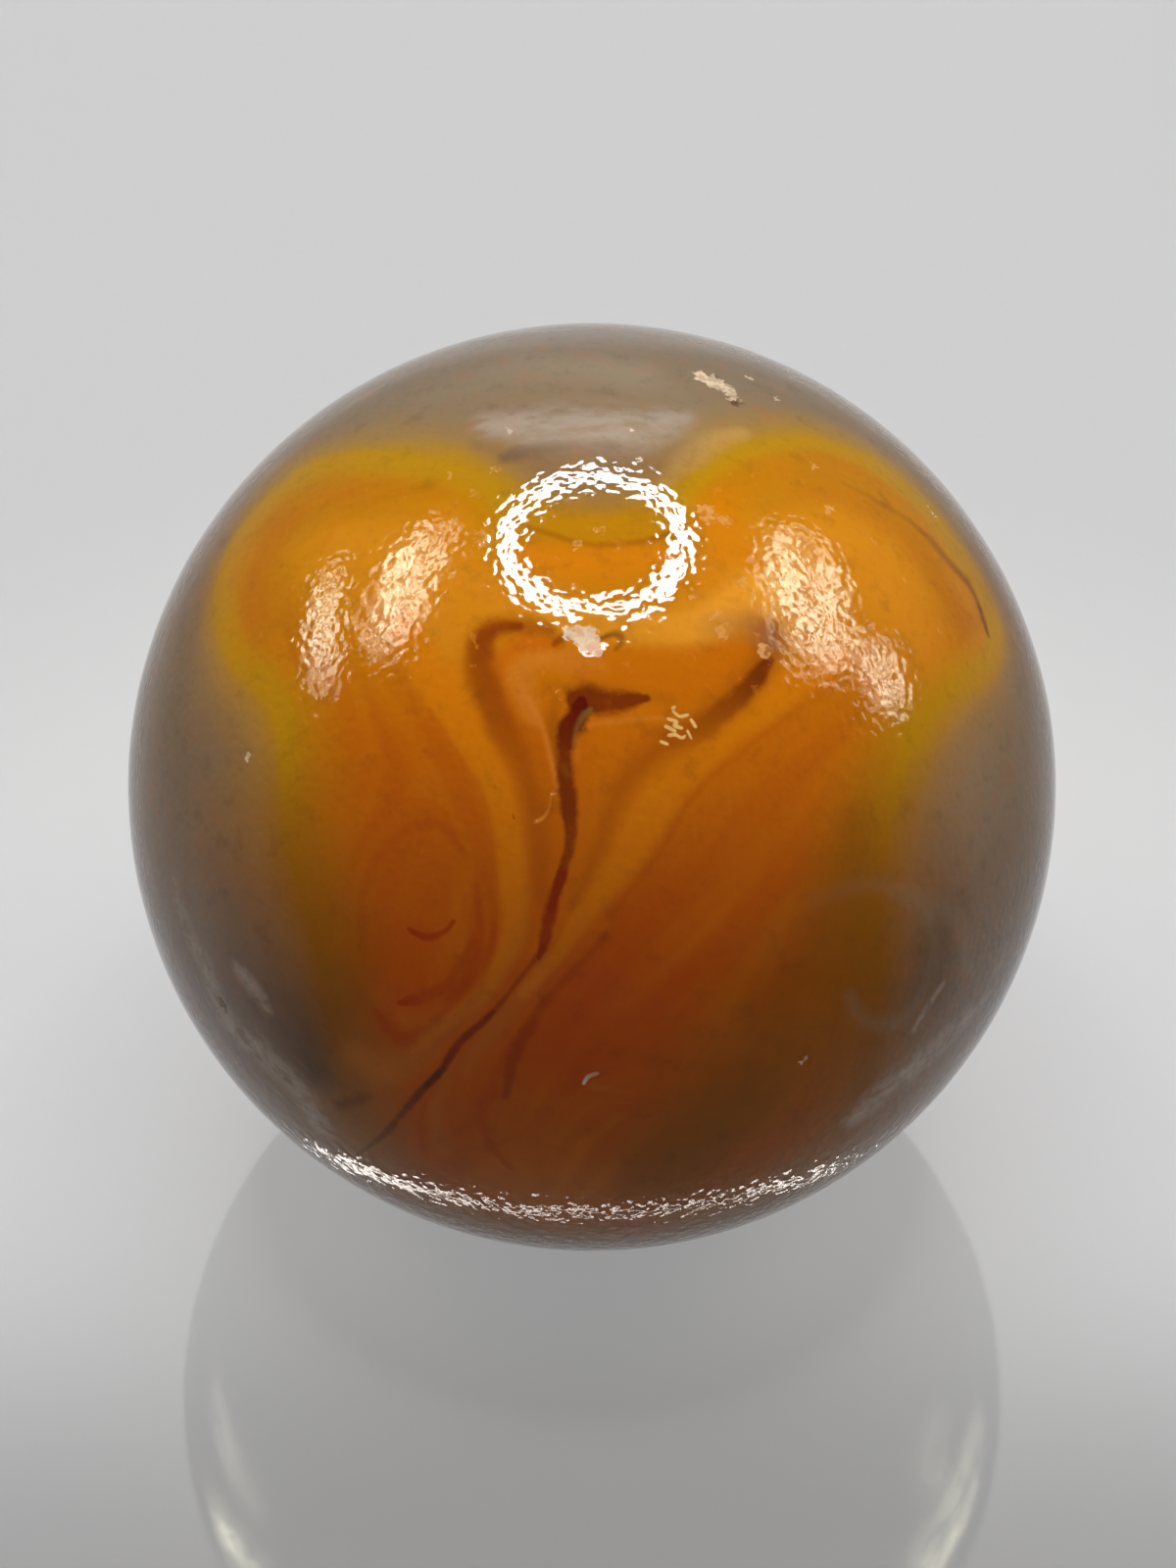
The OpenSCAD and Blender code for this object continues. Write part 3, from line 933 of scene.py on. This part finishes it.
def lamp_stance(patch):
    """Direction, turn and size at unit distance of a lamp that is mirrored in a patch of the face.

    The patch is (right, up, width, height, lean) in degrees. The lamp spans the mirrored directions
    of the patch's sides, and of its top and bottom, and faces the ball.
    """
    right, up, width, height, lean = patch
    direction = glint_direction(right, up)
    across = glint_direction(right + width / 2, up) - glint_direction(right - width / 2, up)
    upwards = glint_direction(right, up + height / 2) - glint_direction(right, up - height / 2)
    y_axis = upwards - (upwards @ direction) * direction
    y_axis /= np.linalg.norm(y_axis)
    turn = Matrix((np.cross(y_axis, direction), y_axis, direction)).transposed()
    turn = turn @ Matrix.Rotation(math.radians(lean), 3, "Z")
    return direction, turn, (np.linalg.norm(across), np.linalg.norm(upwards))


def hang_lamp(name, patch, distance, wash, glint, tint=(1, 1, 1), shape="RECTANGLE", only=None):
    """A lamp whose mirror image covers a patch of the face: (right, up, width, height, lean) in degrees.

    It is one lamp for the soft light, of radiance wash, and one just in front of it for the mirror
    image, of radiance glint. The power of each is its radiance times pi times its area, and an
    ellipse has pi / 4 of its box's area. With only, the mirror image shows on nothing but the
    objects of that collection.
    """
    direction, turn, spans = lamp_stance(patch)
    lamps = []
    for part, strength, away in (("wash", wash, distance), ("glint", glint, 0.98 * distance)):
        if not strength:
            continue
        size = [span * away for span in spans]
        lamp = bpy.data.lights.new(f"{name}_{part}", "AREA")
        lamp.shape = shape
        lamp.size, lamp.size_y = size
        lamp.energy = strength * math.pi * size[0] * size[1] * (math.pi / 4 if shape == "ELLIPSE" else 1)
        lamp.color = tint
        holder = bpy.data.objects.new(lamp.name, lamp)
        bpy.context.scene.collection.objects.link(holder)
        holder.matrix_world = Matrix.Translation(Vector(direction * away)) @ turn.to_4x4()
        holder.visible_camera = False
        holder.visible_glossy = part == "glint"
        holder.visible_diffuse = part == "wash"
        if part == "glint" and only:
            holder.light_linking.receiver_collection = only
        lamps.append(lamp)
    return lamps


def shade_lamp(lamp, start, end, low, high, patches=0.0):
    """Shades a lamp by the distance from its middle, 0.5 at its edges, and breaks it into patches.

    Its light goes from low at distance start to high at distance end, as a smooth step.
    """
    lamp.use_nodes = True
    tree = lamp.node_tree
    nodes = {word: tree.nodes.new("ShaderNode" + kind) for word, kind in
             (("place", "NewGeometry"), ("away", "VectorMath"), ("fall", "MapRange"),
              ("cloud", "TexNoise"), ("parts", "MapRange"), ("both", "Math"))}
    nodes["away"].operation = "DISTANCE"
    nodes["away"].inputs[1].default_value = (0.5, 0.5, 0)
    nodes["fall"].interpolation_type = nodes["parts"].interpolation_type = "SMOOTHSTEP"
    for socket, value in zip(nodes["fall"].inputs[1:], (start, end, low, high)):
        socket.default_value = value
    nodes["cloud"].inputs["Scale"].default_value = 4.5
    nodes["cloud"].inputs["Detail"].default_value = 5
    nodes["cloud"].inputs["Roughness"].default_value = 0.7
    for socket, value in zip(nodes["parts"].inputs[1:], (0.43, 0.57, 1 - patches, 1 + patches)):
        socket.default_value = value
    nodes["both"].operation = "MULTIPLY"
    for output, socket in ((nodes["place"].outputs["Parametric"], nodes["away"].inputs[0]),
                           (nodes["away"].outputs["Value"], nodes["fall"].inputs[0]),
                           (nodes["place"].outputs["Parametric"], nodes["cloud"].inputs["Vector"]),
                           (nodes["cloud"].outputs["Fac"], nodes["parts"].inputs[0]),
                           (nodes["fall"].outputs[0], nodes["both"].inputs[0]),
                           (nodes["parts"].outputs[0], nodes["both"].inputs[1]),
                           (nodes["both"].outputs[0], tree.nodes["Emission"].inputs["Strength"])):
        tree.links.new(output, socket)


# The ring lamp: the patch of the face that mirrors it, and its inner diameter as a share of its outer one
RING = (0.3, 30, 26, 22.2, -8)
RING_HOLE = 0.78
RING_AWAY = 200 * MM
RING_WASH, RING_GLINT = 13.2, 105
# The same lamp as the board mirrors it up to the ball
RING_BELOW = (-0.6, 30.5, 27.8, 22, 0)
RING_BELOW_GLINT = 120
CREAM = (1, 0.94, 0.88)
# Strip lamps: name, patch of the face that mirrors them, radiance
STRIPS = (
    ("left_inner", (-23.5, 24.8, 10, 19.5, -20), 3.2),
    ("left_outer", (-34.4, 20, 6, 20, 5), 2.6),
    ("right_inner", (27.4, 23, 13.5, 22, 3), 3.0),
    ("right_outer", (37, 14.2, 9, 12, 10), 2.2),
)
STRIP_AWAY = 250 * MM
STRIP_GLINT = 7.6  # how much brighter their mirror images are than their soft light
WARM = (1, 0.95, 0.7)
# The panel behind
PANEL = (0, 46.5, 32, 10, 0)
PANEL_AWAY = 500 * MM
PANEL_LIGHT = 1.3
PANEL_TINT = (1, 0.97, 0.95)
ROOM_COLOUR = (0.8, 0.82, 0.86, 1)
ROOM_LIGHT = 0.33


def collection_of(name, members):
    """A collection for lamps to be linked to, so that their mirror images show on nothing else."""
    made = bpy.data.collections.new(name)
    for member in members:
        made.objects.link(bpy.data.objects[member])
    return made


def make_lights():
    """A ring lamp nearly overhead, a pair of strips on each side, and a panel behind.

    The ring's mirror image in the board has a lamp of its own, which lights nothing but the board.
    """
    on_ball = collection_of("on_ball", ["marble_glass"])
    on_floor = collection_of("on_floor", ["floor"])
    ring = hang_lamp("ring", RING, RING_AWAY, RING_WASH, RING_GLINT, shape="ELLIPSE", only=on_ball)
    ring += hang_lamp("ring_below", RING_BELOW, RING_AWAY, 0, RING_BELOW_GLINT, CREAM, "ELLIPSE", on_floor)
    for lamp in ring:
        shade_lamp(lamp, 0.5 * RING_HOLE - 0.001, 0.5 * RING_HOLE + 0.001, 0, 1)
    for name, patch, radiance in STRIPS:
        glint = STRIP_GLINT * radiance
        for lamp in hang_lamp("strip_" + name, patch, STRIP_AWAY, radiance, glint, WARM, only=on_ball):
            shade_lamp(lamp, 0.6, 0.2, 0, 1.4, patches=0.85)
    for lamp in hang_lamp("panel_behind", PANEL, PANEL_AWAY, PANEL_LIGHT, PANEL_LIGHT, PANEL_TINT):
        shade_lamp(lamp, 0.5, 0.25, 0, 1)


def make_room():
    """The even light of a dim room."""
    world = bpy.data.worlds.new("dim_room")
    bpy.context.scene.world = world
    world.use_nodes = True
    background = world.node_tree.nodes["Background"]
    background.inputs["Color"].default_value = ROOM_COLOUR
    background.inputs["Strength"].default_value = ROOM_LIGHT


CAMERA_AWAY = 10 * BALL_R
LENS, SENSOR_WIDTH = 106, 36  # in millimetres, as cameras have them
SHIFT = (-0.0025, 0.0019)


def make_camera():
    """Looks straight down the face's axis."""
    camera = bpy.data.cameras.new("camera")
    camera.sensor_width = SENSOR_WIDTH
    camera.lens = LENS
    camera.shift_x, camera.shift_y = SHIFT
    camera.clip_start = MM
    holder = bpy.data.objects.new("camera", camera)
    bpy.context.scene.collection.objects.link(holder)
    holder.location = Vector(FACE * CAMERA_AWAY)
    holder.rotation_euler = Vector(FACE).to_track_quat("Z", "Y").to_euler()
    bpy.context.scene.camera = holder


make_marble()
make_floor()
make_lights()
make_room()
make_camera()
bpy.context.scene.view_settings.view_transform = "Standard"
